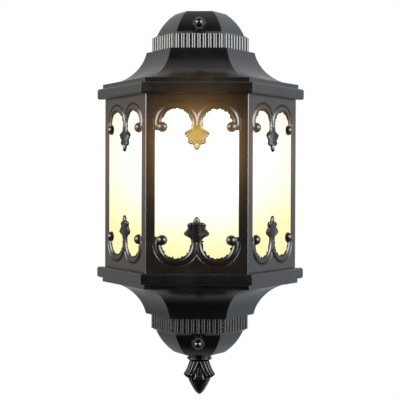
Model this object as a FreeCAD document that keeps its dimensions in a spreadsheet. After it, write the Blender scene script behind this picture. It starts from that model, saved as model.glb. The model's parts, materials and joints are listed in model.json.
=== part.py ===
import FreeCAD, Part
import math
import os
from types import SimpleNamespace

import Sketcher

# A half-hexagon wall lantern. +Z is up, +X is right as seen from the front, the wall is the
# plane Y = 0 and the front faces -Y. The origin is the centre of the wall screw pattern.
# Radii named "corner" run from the lantern's axis to a hexagon corner, along the wall.

SIZES = {
    # castings: corner radii
    "body_corner": 95.4,
    "cornice_corner": 103.1,
    "step_corner": 97.7,
    "roof_top_corner": 54.1,
    "band_corner": 47.4,
    "shoulder_corner": 48.4,
    "dome_corner": 43.4,
    "dome_top_corner": 25.0,
    # castings: heights, from the middle upwards
    "body_half_height": 83.6,
    "cornice_height": 10.6,
    "step_height": 4.4,
    "cove_height": 31.8,
    "band_height": 14.2,
    "shoulder_height": 2.8,
    "dome_height": 21.6,
    # castings: curves, walls and edges
    "cove_radius": 39.0,
    "dome_radius": 48.0,
    "frame_wall": 3.9,
    "roof_wall": 3.2,
    "cornice_round": 2.2,
    "cove_setback": 1.0,
    "edge_chamfer": 0.8,
    # reeds of the band
    "reed_radius": 2.2,
    "reed_pitch": 5.2,
    # windows and their tracery; drops run from the frame's end towards the middle
    "window_half_width": 39.4,
    "arch_spring_drop": 26.7,
    "arch_opening_radius": 13.7,
    "arch_bevel_radius": 18.2,
    "arch_bevel_depth": 0.7,
    "arch_bead_radius": 20.9,
    "bead_proud": 0.5,
    "scroll_out": 33.2,
    "scroll_drop": 31.0,
    "scroll_radius": 6.2,
    "ball_out": 32.0,
    "ball_radius": 4.9,
    "ball_sunk": 0.8,
    # leaf that hangs from the cusp between two arches
    "leaf_tip_drop": 53.2,
    "leaf_proud": 0.4,
    "stem_half_width": 4.4,
    "low_lobe_half_width": 9.2,
    "low_lobe_drop": 35.2,
    "lobe_notch_half_width": 7.6,
    "lobe_notch_drop": 42.2,
    "tip_notch_half_width": 3.4,
    "tip_notch_drop": 48.2,
    "rib_width": 3.0,
    "rib_height": 1.1,
    "rib_crest": 0.01,
    # glass and its clips
    "pane_half_width": 41.2,
    "pane_end_gap": 5.4,
    "pane_thickness": 3.0,
    "clip_width": 10.0,
    "clip_reach": 3.5,
    "clip_thickness": 1.0,
    "clip_screw_margin": 2.4,
    "clip_screw_radius": 1.2,
    "clip_screw_head_radius": 2.3,
    "clip_screw_head_height": 1.6,
    "clip_screw_bite": 2.8,
    # wall plate
    "plate_thickness": 1.5,
    "plate_rim_gap": 5.5,
    "plate_end_gap": 1.9,
    "tongue_half_width": 22.0,
    "tongue_top_gap": 6.8,
    "wall_hole_radius": 2.75,
    "wall_hole_spacing": 70.0,
    # studs, washers and ball nuts that hold the lantern to the plate
    "stud_rise": 8.2,
    "stud_radius": 2.4,
    "stud_nut_flat_radius": 4.0,
    "stud_nut_height": 4.0,
    "seat_setback": 3.2,
    "seat_radius": 6.4,
    "boss_depth": 9.0,
    "washer_radius": 5.9,
    "washer_thickness": 1.2,
    "nut_skirt_radius": 4.4,
    "nut_skirt_height": 2.4,
    "nut_ball_radius": 4.2,
    "nut_thread_depth": 6.0,
    # tie rods that clamp roof, frame and base
    "rod_radius": 2.0,
    "rod_inset": 15.8,
    "rod_depth": 10.0,
    "rod_spare": 1.3,
    "rod_nut_flat_radius": 3.5,
    "rod_nut_height": 3.2,
    "lug_half_width": 8.0,
    "lug_half_depth": 6.0,
    "lug_rise": 0.8,
    "lug_height": 5.0,
    # lamp
    "lamp_depth": 30.0,
    "bracket_roof_gap": 14.4,
    "bracket_thickness": 1.5,
    "bracket_half_width": 12.0,
    "bracket_drop": 22.0,
    "bracket_front": 14.0,
    "bracket_screw_radius": 2.0,
    "bracket_screw_head_radius": 3.6,
    "bracket_screw_head_height": 2.2,
    "bracket_screw_inset": 7.0,
    "bracket_screw_spacing": 9.0,
    "nipple_radius": 4.9,
    "nipple_bore_radius": 3.2,
    "nipple_sunk": 6.0,
    "nipple_rise": 6.0,
    "nipple_nut_flat_radius": 7.0,
    "nipple_nut_height": 3.0,
    "holder_radius": 18.0,
    "holder_shoulder_radius": 13.0,
    "holder_shoulder_height": 5.0,
    "holder_height": 38.0,
    "holder_socket_depth": 26.0,
    "shell_radius": 14.0,
    "shell_wall": 0.5,
    "shell_height": 20.0,
    "contact_radius": 4.5,
    "contact_thickness": 1.2,
    "cap_radius": 13.2,
    "cap_height": 24.0,
    "cap_tip_radius": 4.0,
    "cap_tip_height": 2.0,
    "bulb_radius": 19.0,
    "bulb_neck_height": 12.0,
    "bulb_height": 44.0,
    "bulb_end_chamfer": 6.0,
    # wiring pieces on the plate
    "grommet_drop": 22.0,
    "grommet_flange_radius": 9.0,
    "grommet_flange_height": 2.0,
    "grommet_sleeve_radius": 6.5,
    "grommet_bore_radius": 4.0,
    "block_drop": 52.0,
    "block_half_width": 15.0,
    "block_depth": 12.0,
    "block_half_height": 8.0,
    "block_wire_radius": 1.7,
    "block_pitch": 10.0,
    "block_wire_depth": 6.0,
    "terminal_screw_radius": 1.5,
    "terminal_screw_length": 3.6,
    "block_screw_radius": 1.4,
    "block_screw_head_radius": 2.2,
    "block_screw_head_height": 1.4,
    "earth_out": 40.0,
    "earth_screw_radius": 2.0,
    "earth_head_radius": 4.0,
    "earth_head_height": 2.6,
    # finial, from the base downwards
    "finial_ring_radius": 12.5,
    "finial_ring_height": 7.0,
    "finial_ring_chamfer": 1.2,
    "finial_neck_radius": 9.7,
    "finial_neck_drop": 8.8,
    "calyx_radius": 15.2,
    "calyx_drop": 21.0,
    "calyx_curve": 24.0,
    "calyx_end_radius": 10.7,
    "calyx_end_drop": 27.0,
    "bud_curve": 34.0,
    "bud_tip_radius": 0.8,
    "finial_drop": 42.0,
    "petal_notch_half_width": 4.0,
    "petal_notch_height": 9.0,
    "finial_screw_radius": 2.0,
    "finial_screw_depth": 5.5,
    "finial_screw_bite": 6.0,
    "finial_screw_head_radius": 3.6,
    "finial_screw_head_height": 2.4,
    # clearances
    "thread_clearance": 0.1,
    "hole_clearance": 0.25,
}

REEDS_PER_FACET = 9
SIDES = (-1, 1)

# Angles in degrees
FACET_ANGLE = 60
BEAD_DIP_ANGLE = 14
LOW_RIB_ANGLE = 8
HIGH_RIB_ANGLE = 48

# Shares of a length: a leaf lobe's radius of its chord, a leaf rib's crest of its reach,
# a ball nut's waist of its ball
LOBE_SHARE = 0.52
CREST_SHARE = 0.7
WAIST_SHARE = 0.8


class Length:
    """A length in millimetres that also carries the formula tying it to the sheet."""

    def __init__(self, value, formula):
        self.value = float(value)
        self.formula = formula

    def __add__(self, other):
        other = length(other)
        return Length(self.value + other.value, f"({self.formula} + {other.formula})")

    def __sub__(self, other):
        other = length(other)
        return Length(self.value - other.value, f"({self.formula} - {other.formula})")

    def __mul__(self, other):
        other = length(other)
        return Length(self.value * other.value, f"({self.formula} * {other.formula})")

    def __truediv__(self, other):
        other = length(other)
        return Length(self.value / other.value, f"({self.formula} / {other.formula})")

    def __neg__(self):
        return Length(-self.value, f"(0 - {self.formula})")

    __radd__ = __add__
    __rmul__ = __mul__


def length(value):
    return value if isinstance(value, Length) else Length(value, str(value))


def diagonal(across, along):
    squares = across * across + along * along
    return Length(math.sqrt(squares.value), f"sqrt({squares.formula})")


def smaller(one, two):
    return Length(min(one.value, two.value), f"min({one.formula}; {two.formula})")


doc = FreeCAD.newDocument("WallLantern")
sheet = doc.addObject("Spreadsheet::Sheet", "Sizes")
for row, (alias, value) in enumerate(SIZES.items(), start=1):
    sheet.set(f"A{row}", alias)
    sheet.set(f"B{row}", str(value))
    sheet.setAlias(f"B{row}", alias)
doc.recompute()

S = SimpleNamespace(**{alias: Length(value, f"Sizes.{alias}") for alias, value in SIZES.items()})
ZERO = length(0)

# A facet lies at its corner radius times this from the axis.
FACET = Length(math.cos(math.radians(30)), "cos(30 deg)")

# Rotations: FORWARD turns +Z to the front, BACKWARD turns it to the wall.
UPRIGHT = FreeCAD.Rotation()
FORWARD = FreeCAD.Rotation(FreeCAD.Vector(1, 0, 0), 90)
BACKWARD = FreeCAD.Rotation(FreeCAD.Vector(1, 0, 0), -90)


def tie(thing, prop, value):
    thing.setExpression(prop, length(value).formula)


def put(thing, x=0, y=0, z=0, turn=UPRIGHT):
    """Places a piece, with each coordinate tied to the sheet."""
    thing.Placement = FreeCAD.Placement(FreeCAD.Vector(), turn)
    for axis, where in zip("xyz", (x, y, z)):
        tie(thing, f"Placement.Base.{axis}", where)
    return thing


def add(kind, name, **links):
    thing = doc.addObject(kind, name)
    for prop, value in links.items():
        setattr(thing, prop, value)
    return thing


def block(name, sides, low, turn=UPRIGHT):
    """A box by its three sides and its lowest corner."""
    thing = add("Part::Box", name)
    for prop, side in zip(("Length", "Width", "Height"), sides):
        tie(thing, prop, side)
    return put(thing, *low, turn)


def rod(name, radius, height, x=0, y=0, z=0, turn=UPRIGHT):
    thing = add("Part::Cylinder", name)
    tie(thing, "Radius", radius)
    tie(thing, "Height", height)
    return put(thing, x, y, z, turn)


def fuse(name, *shapes):
    return add("Part::MultiFuse", name, Shapes=list(shapes))


def common(name, *shapes):
    return add("Part::MultiCommon", name, Shapes=list(shapes))


def cut(name, base, tool):
    return add("Part::Cut", name, Base=base, Tool=tool)


def group(name, *shapes):
    return add("Part::Compound", name, Links=list(shapes))


def turned_copy(name, thing, degrees):
    """The same piece, turned about the lantern's axis."""
    copy = group(name, thing)
    copy.Placement = FreeCAD.Placement(
        FreeCAD.Vector(), FreeCAD.Rotation(FreeCAD.Vector(0, 0, 1), degrees)
    )
    return copy


def on_facets(name, thing):
    """The front facet's piece and its copies on the left and right facets."""
    left = turned_copy(f"{name}_on_left", thing, -FACET_ANGLE)
    right = turned_copy(f"{name}_on_right", thing, FACET_ANGLE)
    return [thing, left, right]


def arc_through(start, end, radius, centre_on_left):
    """The short arc between two points, as a sketch edge running anticlockwise."""
    chord = end - start
    half = chord.Length / 2
    rise = math.sqrt(max(radius * radius - half * half, 0))
    normal = FreeCAD.Vector(-chord.y, chord.x, 0).normalize()
    centre = (start + end) * 0.5 + normal * (rise if centre_on_left else -rise)
    first, last = (start, end) if centre_on_left else (end, start)
    angles = [math.atan2(point.y - centre.y, point.x - centre.x) for point in (first, last)]
    circle = Part.Circle(centre, FreeCAD.Vector(0, 0, 1), radius)
    return Part.ArcOfCircle(circle, angles[0], angles[1])


def draw(sketch, corners, arcs=()):
    """A closed outline through corners; arcs maps a side to its radius and its centre's side."""
    arcs = dict(arcs)
    points = [FreeCAD.Vector(length(x).value, length(y).value, 0) for x, y in corners]
    ends = []
    for side, start in enumerate(points):
        end = points[(side + 1) % len(points)]
        if side in arcs:
            radius, centre_on_left = arcs[side]
            edge = sketch.addGeometry(arc_through(start, end, radius.value, centre_on_left))
            limit = sketch.addConstraint(Sketcher.Constraint("Radius", edge, radius.value))
            sketch.setExpression(f"Constraints[{limit}]", radius.formula)
            ends.append((edge, 1, 2) if centre_on_left else (edge, 2, 1))
        else:
            edge = sketch.addGeometry(Part.LineSegment(start, end))
            ends.append((edge, 1, 2))
    for side, (edge, first, last) in enumerate(ends):
        after, after_first, _ = ends[(side + 1) % len(ends)]
        sketch.addConstraint(Sketcher.Constraint("Coincident", edge, last, after, after_first))
        for kind, axis, where in zip(("DistanceX", "DistanceY"), (-2, -1), corners[side]):
            where = length(where)
            if where.value == 0:
                sketch.addConstraint(Sketcher.Constraint("PointOnObject", edge, first, axis))
                continue
            limit = Sketcher.Constraint(kind, -1, 1, edge, first, where.value)
            index = sketch.addConstraint(limit)
            sketch.setExpression(f"Constraints[{index}]", where.formula)
    return sketch


def body_sketch(body, plane_role, corners, arcs=(), offset=None):
    sketch = body.newObject("Sketcher::SketchObject", f"{body.Name}_outline")
    plane = next(f for f in body.Origin.OriginFeatures if f.Role == plane_role)
    sketch.AttachmentSupport = (plane, [""])
    sketch.MapMode = "FlatFace"
    if offset is not None:
        tie(sketch, "AttachmentOffset.Base.z", offset)
    return draw(sketch, corners, arcs)


def turned(name, corners, arcs=(), x=0, y=0, z=0, turn=UPRIGHT, sweep=360):
    """A turned piece: a half section of radii and heights, spun about its own upright axis."""
    body = add("PartDesign::Body", name)
    sketch = body_sketch(body, "XZ_Plane", corners, arcs)
    spin = body.newObject("PartDesign::Revolution", f"{name}_spin")
    spin.Profile = sketch
    spin.ReferenceAxis = (sketch, ["V_Axis"])
    spin.Angle = sweep
    spin.Reversed = sweep < 360
    return put(body, x, y, z, turn)


def padded(name, plane_role, corners, depth, offset=None, arcs=()):
    """A flat outline given a thickness."""
    body = add("PartDesign::Body", name)
    sketch = body_sketch(body, plane_role, corners, arcs, offset)
    pad = body.newObject("PartDesign::Pad", f"{name}_pad")
    pad.Profile = sketch
    tie(pad, "Length", depth)
    return body


def screw(name, head, shank, x=0, y=0, z=0, turn=FORWARD):
    """A plain screw with its origin under its head; head and shank are (radius, height)."""
    corners = [
        (ZERO, -shank[1]),
        (shank[0], -shank[1]),
        (shank[0], ZERO),
        (head[0], ZERO),
        (head[0], head[1]),
        (ZERO, head[1]),
    ]
    return turned(name, corners, x=x, y=y, z=z, turn=turn)


def hex_nut(name, flat_radius, height, bore, x=0, y=0, z=0, turn=UPRIGHT):
    prism = add("Part::Prism", f"{name}_hexagon", Polygon=6)
    tie(prism, "Circumradius", flat_radius / FACET)
    tie(prism, "Height", height)
    nut = cut(name, prism, rod(f"{name}_bore", bore, height))
    return put(nut, x, y, z, turn)


def mirrored_outline(half):
    """A half outline from the axis, down one side, and its mirror image back up the other."""
    return half + [(-x, z) for x, z in reversed(half) if length(x).value != 0]


# Levels and depths that several pieces share
cornice_top = S.body_half_height + S.cornice_height
step_top = cornice_top + S.step_height
roof_top = step_top + S.cove_height
band_top = roof_top + S.band_height
dome_base = band_top + S.shoulder_height
dome_top = dome_base + S.dome_height
stud_height = dome_base + S.stud_rise
arch_spring_height = S.body_half_height - S.arch_spring_drop
scroll_height = S.body_half_height - S.scroll_drop
low_lobe_height = S.body_half_height - S.low_lobe_drop
lobe_notch_height = S.body_half_height - S.lobe_notch_drop
tip_notch_height = S.body_half_height - S.tip_notch_drop
leaf_tip_height = S.body_half_height - S.leaf_tip_drop
low_lobe_radius = LOBE_SHARE * diagonal(
    S.low_lobe_half_width - S.lobe_notch_half_width, low_lobe_height - lobe_notch_height
)
high_lobe_radius = LOBE_SHARE * diagonal(
    S.lobe_notch_half_width - S.tip_notch_half_width, lobe_notch_height - tip_notch_height
)
pane_half_height = S.body_half_height - S.pane_end_gap
plate_half_height = S.body_half_height - S.plate_end_gap
bracket_height = roof_top - S.bracket_roof_gap

body_face = S.body_corner * FACET
cornice_face = S.cornice_corner * FACET
step_face = S.step_corner * FACET
roof_top_face = S.roof_top_corner * FACET
band_face = S.band_corner * FACET
shoulder_face = S.shoulder_corner * FACET
dome_face = S.dome_corner * FACET
dome_top_face = S.dome_top_corner * FACET

frame_inner_face = body_face - S.frame_wall
frame_inner_corner = frame_inner_face / FACET
rod_out = frame_inner_corner - S.rod_inset
pane_lip = S.frame_wall - S.pane_thickness
pane_front = body_face - pane_lip
seat_face = dome_face - S.seat_setback
washer_front = seat_face + S.washer_thickness
stud_hole = S.stud_radius + S.hole_clearance
plate_front = S.plate_thickness
far_side = S.cornice_corner * 2


def swept_facets(name, corners, arcs):
    """One section carried round the three facets: the overlap of three long mouldings."""
    sketch = add("Sketcher::SketchObject", f"{name}_section")
    sketch.Placement = FreeCAD.Placement(
        FreeCAD.Vector(),
        FreeCAD.Rotation(
            FreeCAD.Vector(0, -1, 0), FreeCAD.Vector(0, 0, 1), FreeCAD.Vector(-1, 0, 0), "XYZ"
        ),
    )
    draw(sketch, corners, arcs)
    moulding = add("Part::Extrusion", f"{name}_moulding", Base=sketch, DirMode="Normal")
    moulding.Solid = True
    moulding.Symmetric = True
    tie(moulding, "LengthFwd", far_side * 2)
    return common(name, *on_facets(f"{name}_moulding", moulding))


def front_space(name):
    """All room in front of the wall."""
    sides = (far_side * 2, far_side, far_side * 4)
    return block(name, sides, (-far_side, -far_side, far_side * -2))


def crown():
    """Dome, reeded band, cavetto and cornice as one hollow casting, open to the wall and below."""
    bend = S.cornice_round
    outside = swept_facets(
        "crown_outside",
        [
            (-far_side, S.body_half_height),
            (cornice_face - bend, S.body_half_height),
            (cornice_face, S.body_half_height + bend),
            (cornice_face, cornice_top - bend),
            (cornice_face - bend, cornice_top),
            (step_face, cornice_top),
            (step_face, step_top),
            (step_face - S.cove_setback, step_top),
            (roof_top_face, roof_top),
            (band_face, roof_top),
            (band_face, band_top),
            (shoulder_face, band_top),
            (dome_face, dome_base),
            (dome_top_face, dome_top),
            (-far_side, dome_top),
        ],
        {1: (bend, True), 3: (bend, True), 7: (S.cove_radius, False), 12: (S.dome_radius, True)},
    )
    wall = S.roof_wall
    cornice_hollow = smaller(frame_inner_face - S.hole_clearance, cornice_face - wall)
    hollow = swept_facets(
        "crown_hollow",
        [
            (-far_side, S.body_half_height - wall),
            (cornice_hollow, S.body_half_height - wall),
            (cornice_hollow, step_top - wall),
            (roof_top_face - wall, roof_top - wall),
            (band_face - wall, roof_top - wall),
            (band_face - wall, band_top - wall),
            (dome_face - wall, dome_base),
            (dome_top_face - wall, dome_top - wall),
            (-far_side, dome_top - wall),
        ],
        {2: (S.cove_radius, False), 6: (S.dome_radius, True)},
    )
    reeds = []
    for place in range(REEDS_PER_FACET):
        across = S.reed_pitch * (place - (REEDS_PER_FACET - 1) / 2)
        reeds.append(rod(f"reed_{place}", S.reed_radius, S.band_height, across, -band_face, roof_top))
    reed_row = fuse("reed_row", *reeds)
    reeded = fuse("crown_reeded", outside, *on_facets("reed_row", reed_row))
    shell = cut("crown_shell", reeded, hollow)

    lug_low = S.body_half_height + S.lug_rise
    lugs = []
    for side in SIDES:
        sides = (S.lug_half_width * 4, S.lug_half_depth * 2, S.lug_height)
        inner_end = rod_out - S.lug_half_width
        low_x = inner_end if side > 0 else -inner_end - sides[0]
        low = (low_x, -S.rod_depth - S.lug_half_depth, lug_low)
        lugs.append(block(f"lug_{side}", sides, low))
    lug_pair = common("crown_lugs", group("lug_blocks", *lugs), outside)
    boss = rod("stud_boss", S.seat_radius, S.boss_depth, 0, S.boss_depth - seat_face, stud_height, FORWARD)
    solid = common("crown_solid", fuse("crown_with_lugs", shell, lug_pair, boss), front_space("front_room"))

    holes = [
        rod("nut_seat", S.seat_radius, dome_face, 0, -seat_face, stud_height, FORWARD),
        rod("stud_hole", stud_hole, dome_face, 0, 0, stud_height, FORWARD),
    ]
    for side in SIDES:
        place = (rod_out * side, -S.rod_depth, lug_low)
        holes.append(rod(f"rod_hole_{side}", S.rod_radius + S.hole_clearance, S.lug_height, *place))
    return solid, fuse("crown_holes", *holes)


def roof_and_base():
    """The base is the crown's mirror image, with a hole for the finial's screw."""
    solid, holes = crown()
    roof = cut("roof", solid, holes)
    mirror = add("Part::Mirroring", "crown_mirrored", Source=roof)
    mirror.Normal = FreeCAD.Vector(0, 0, 1)
    hole_radius = S.finial_screw_radius + S.hole_clearance
    hole = rod(
        "finial_screw_hole", hole_radius, S.roof_wall * 2,
        0, -S.finial_screw_depth, -dome_top - S.roof_wall / 2,
    )
    return [roof, cut("base", mirror, hole)]


def arch_parts(tag, side, up):
    """One arch of a window: its opening, its bevel, its bead and the ball scroll at its foot."""
    across = S.window_half_width / 2 * side
    height = arch_spring_height * up
    opening = rod(f"opening_{tag}", S.arch_opening_radius, S.frame_wall * 2,
                  across, S.frame_wall / 2 * 3 - body_face, height, FORWARD)
    bevel = add("Part::Cone", f"bevel_{tag}")
    tie(bevel, "Radius1", S.arch_opening_radius)
    tie(bevel, "Radius2", S.arch_bevel_radius)
    tie(bevel, "Height", S.arch_bevel_depth)
    put(bevel, across, S.arch_bevel_depth - body_face, height, FORWARD)

    bead_depth = S.arch_bevel_depth + S.bead_proud
    ring = add("Part::Cylinder", f"bead_outside_{tag}", Angle=180 + 2 * BEAD_DIP_ANGLE)
    tie(ring, "Radius", S.arch_bead_radius)
    tie(ring, "Height", bead_depth)
    start = -BEAD_DIP_ANGLE if up > 0 else 180 - BEAD_DIP_ANGLE
    swing = FreeCAD.Rotation(FreeCAD.Vector(0, 0, 1), start)
    put(ring, across, S.arch_bevel_depth - body_face, height, FORWARD.multiply(swing))
    bore = rod(f"bead_inside_{tag}", S.arch_bevel_radius, bead_depth,
               across, S.arch_bevel_depth - body_face, height, FORWARD)
    bead = cut(f"bead_{tag}", ring, bore)

    scroll = rod(f"scroll_{tag}", S.scroll_radius, pane_lip + S.bead_proud,
                 S.scroll_out * side, -pane_front, scroll_height * up, FORWARD)
    ball = add("Part::Sphere", f"ball_{tag}", Angle1=0)
    tie(ball, "Radius", S.ball_radius)
    put(ball, S.ball_out * side, S.ball_sunk - body_face, scroll_height * up, FORWARD)
    return [opening, bevel], [bead, scroll, ball]


def leaf(tag, up):
    """A five-lobed leaf under the cusp, with a raised rib along each lobe."""
    stem_top = scroll_height + S.scroll_radius
    half = [
        (ZERO, stem_top * up),
        (S.stem_half_width, stem_top * up),
        (S.stem_half_width, (low_lobe_height + low_lobe_radius) * up),
        (S.low_lobe_half_width, low_lobe_height * up),
        (S.lobe_notch_half_width, lobe_notch_height * up),
        (S.tip_notch_half_width, tip_notch_height * up),
        (ZERO, leaf_tip_height * up),
    ]
    outline = half + [(-x, z) for x, z in reversed(half[1:-1])]
    right = up < 0
    arcs = {
        3: (low_lobe_radius, right),
        4: (high_lobe_radius, right),
        7: (high_lobe_radius, right),
        8: (low_lobe_radius, right),
    }
    front = body_face + S.leaf_proud
    blade = padded(f"leaf_blade_{tag}", "XZ_Plane", outline, pane_lip + S.leaf_proud, pane_front, arcs)

    heart_height = lobe_notch_height + low_lobe_radius
    low_reach = S.low_lobe_half_width + low_lobe_radius / 3
    high_reach = S.lobe_notch_half_width
    ribs = [
        rib(f"mid_rib_{tag}", heart_height - leaf_tip_height, 90 * -up, front, heart_height * up),
    ]
    for side in SIDES:
        low_rib = (LOW_RIB_ANGLE * -up, low_reach, heart_height)
        high_rib = (HIGH_RIB_ANGLE * -up, high_reach, lobe_notch_height)
        for place, (lean, reach, height) in enumerate((low_rib, high_rib)):
            angle = lean if side > 0 else 180 - lean
            ribs.append(rib(f"rib_{tag}_{place}_{side}", reach, angle, front, height * up))
    return [blade, *ribs]


def rib(name, reach, degrees, front, height):
    """A low ridge that starts on the leaf's middle line and runs out at an angle."""
    ridge = add("Part::Wedge", name, Xmin=0, Ymin=0)
    ridge_line = {
        "Zmin": S.rib_width / -2, "Zmax": S.rib_width / 2, "Xmax": reach, "Ymax": S.rib_height,
        "X2min": S.rib_width / 2, "X2max": reach * CREST_SHARE, "Z2min": ZERO, "Z2max": S.rib_crest,
    }
    for prop, value in ridge_line.items():
        tie(ridge, prop, value)
    lean = FreeCAD.Rotation(FreeCAD.Vector(0, 1, 0), -degrees)
    flip = FreeCAD.Rotation(FreeCAD.Vector(1, 0, 0), 180)
    return put(ridge, 0, -front, height, lean.multiply(flip))


def window_frame():
    """Three windows in one bent casting, each rebated for its pane, with arches, scrolls and leaves."""
    edge = S.edge_chamfer
    inner = frame_inner_corner
    corners = [
        (-S.body_corner, ZERO),
        (S.body_corner / -2 - edge / 2, -body_face + edge * FACET),
        (S.body_corner / -2 + edge, -body_face),
        (S.body_corner / 2 - edge, -body_face),
        (S.body_corner / 2 + edge / 2, -body_face + edge * FACET),
        (S.body_corner, ZERO),
        (inner, ZERO),
        (inner / 2, -frame_inner_face),
        (inner / -2, -frame_inner_face),
        (-inner, ZERO),
    ]
    bent = padded("frame_bend", "XY_Plane", corners, S.body_half_height * 2, -S.body_half_height)

    rebate_half_width = S.pane_half_width + S.hole_clearance
    rebate_half_height = pane_half_height + S.hole_clearance
    cuts = [
        block(
            "window_light",
            (S.window_half_width * 2, S.frame_wall * 2, scroll_height * 2),
            (-S.window_half_width, S.frame_wall / -2 - body_face, -scroll_height),
        ),
        block(
            "pane_rebate",
            (rebate_half_width * 2, S.pane_thickness * 2, rebate_half_height * 2),
            (-rebate_half_width, -pane_front, -rebate_half_height),
        ),
    ]
    ornaments = []
    screw_holes = []
    for up in (1, -1):
        level = "top" if up > 0 else "bottom"
        for side in SIDES:
            openings, mouldings = arch_parts(f"{level}_{side}", side, up)
            cuts += openings
            ornaments += mouldings
        ornaments += leaf(level, up)
        hole_radius = S.clip_screw_radius + S.thread_clearance
        screw_holes.append(rod(f"clip_hole_{level}", hole_radius, S.clip_screw_bite + S.thread_clearance,
                               0, -frame_inner_face, clip_screw_height() * up, FORWARD))
    window = fuse("window_cut", *cuts)
    ornament = fuse("window_ornament", *ornaments)
    holes = fuse("clip_holes", *screw_holes)
    pierced = cut("frame_pierced", bent, fuse("window_cuts", *on_facets("window_cut", window)))
    dressed = fuse("frame_dressed", pierced, *on_facets("window_ornament", ornament))
    return cut("window_frame", dressed, group("clip_hole_sets", *on_facets("clip_holes", holes)))


def clip_screw_height():
    return pane_half_height + S.hole_clearance + S.clip_screw_margin


def glazing():
    """Three panes in the frame's rebates, each held by a clip at its top and bottom."""
    pane = block(
        "front_pane",
        (S.pane_half_width * 2, S.pane_thickness, pane_half_height * 2),
        (-S.pane_half_width, -pane_front, -pane_half_height),
    )
    clips = []
    screws = []
    for up in (1, -1):
        level = "top" if up > 0 else "bottom"
        low_end = pane_half_height - S.clip_reach
        height = clip_screw_height() + S.clip_screw_margin - low_end
        low = low_end if up > 0 else -low_end - height
        sides = (S.clip_width, S.clip_thickness, height)
        strip = block(f"clip_strip_{level}", sides, (S.clip_width / -2, -frame_inner_face, low))
        hole = rod(f"clip_strip_hole_{level}", S.clip_screw_radius + S.hole_clearance, S.clip_thickness * 2,
                   0, S.clip_thickness * 1.5 - frame_inner_face, clip_screw_height() * up, FORWARD)
        clips.append(cut(f"clip_{level}", strip, hole))
        screws.append(
            screw(
                f"clip_screw_{level}",
                (S.clip_screw_head_radius, S.clip_screw_head_height),
                (S.clip_screw_radius, S.clip_screw_bite + S.clip_thickness),
                0, S.clip_thickness - frame_inner_face, clip_screw_height() * up, BACKWARD,
            )
        )
    left_pane = turned_copy("left_pane", pane, -FACET_ANGLE)
    right_pane = turned_copy("right_pane", pane, FACET_ANGLE)
    pane_clips = group("pane_clips", *on_facets("clip_pair", group("clip_pair", *clips)))
    clip_screws = group("clip_screws", *on_facets("clip_screw_pair", group("clip_screw_pair", *screws)))
    return [pane, left_pane, right_pane, pane_clips, clip_screws]


def wall_plate():
    """A flat steel plate with a tongue up and down for the studs."""
    wide = frame_inner_corner - S.plate_rim_gap
    tongue_top = dome_top - S.tongue_top_gap
    half = [
        (S.tongue_half_width, tongue_top),
        (S.tongue_half_width, plate_half_height),
        (wide, plate_half_height),
        (wide, -plate_half_height),
        (S.tongue_half_width, -plate_half_height),
        (S.tongue_half_width, -tongue_top),
    ]
    sheet_metal = padded("plate_sheet", "XZ_Plane", mirrored_outline(half), S.plate_thickness)
    spots = [
        ("wall_hole_left", S.wall_hole_radius, S.wall_hole_spacing / -2, ZERO),
        ("wall_hole_right", S.wall_hole_radius, S.wall_hole_spacing / 2, ZERO),
        ("plate_stud_hole_top", S.stud_radius + S.thread_clearance, ZERO, stud_height),
        ("plate_stud_hole_bottom", S.stud_radius + S.thread_clearance, ZERO, -stud_height),
        ("plate_cable_hole", S.grommet_sleeve_radius + S.thread_clearance, ZERO, -S.grommet_drop),
        ("plate_block_hole", S.block_screw_radius + S.thread_clearance, ZERO, -S.block_drop),
        ("plate_earth_hole", S.earth_screw_radius + S.thread_clearance, S.earth_out, -S.block_drop),
    ]
    for place, height in enumerate(bracket_screw_heights()):
        radius = S.bracket_screw_radius + S.thread_clearance
        spots.append((f"plate_bracket_hole_{place}", radius, ZERO, height))
    holes = [
        rod(name, radius, S.plate_thickness * 2, x, S.plate_thickness / 2, z, FORWARD)
        for name, radius, x, z in spots
    ]
    return [cut("wall_plate", sheet_metal, group("plate_holes", *holes))]


def bracket_screw_heights():
    highest = bracket_height - S.bracket_screw_inset
    return [highest, highest - S.bracket_screw_spacing]


def fixings():
    """Studs locked to the plate, with a washer and a ball nut outside each dome."""
    made = []
    lock_nuts = []
    nut_height = S.nut_skirt_height + S.nut_ball_radius * (1 + math.sqrt(1 - WAIST_SHARE ** 2))
    stud_length = washer_front + S.nut_thread_depth - S.thread_clearance
    thread = S.stud_radius + S.thread_clearance
    waist = S.nut_ball_radius * WAIST_SHARE
    for level, up in (("upper", 1), ("lower", -1)):
        height = stud_height * up
        made.append(rod(f"{level}_stud", S.stud_radius, stud_length, 0, 0, height, FORWARD))
        lock_nuts.append(hex_nut(f"{level}_stud_nut", S.stud_nut_flat_radius, S.stud_nut_height,
                                 thread, 0, -plate_front, height, FORWARD))
        disc = rod(f"{level}_washer_disc", S.washer_radius, S.washer_thickness,
                   0, -seat_face, height, FORWARD)
        hole = rod(f"{level}_washer_hole", stud_hole, S.washer_thickness * 2,
                   0, S.washer_thickness / 2 - seat_face, height, FORWARD)
        made.append(cut(f"{level}_washer", disc, hole))
        section = [
            (thread, ZERO),
            (S.nut_skirt_radius, ZERO),
            (S.nut_skirt_radius, S.nut_skirt_height / 2),
            (waist, S.nut_skirt_height),
            (ZERO, nut_height),
            (ZERO, S.nut_thread_depth),
            (thread, S.nut_thread_depth),
        ]
        ball = {3: (S.nut_ball_radius, True)}
        made.append(turned(f"{level}_cap_nut", section, ball, 0, -washer_front, height, FORWARD))
    return made + [group("stud_nuts", *lock_nuts)]


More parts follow.
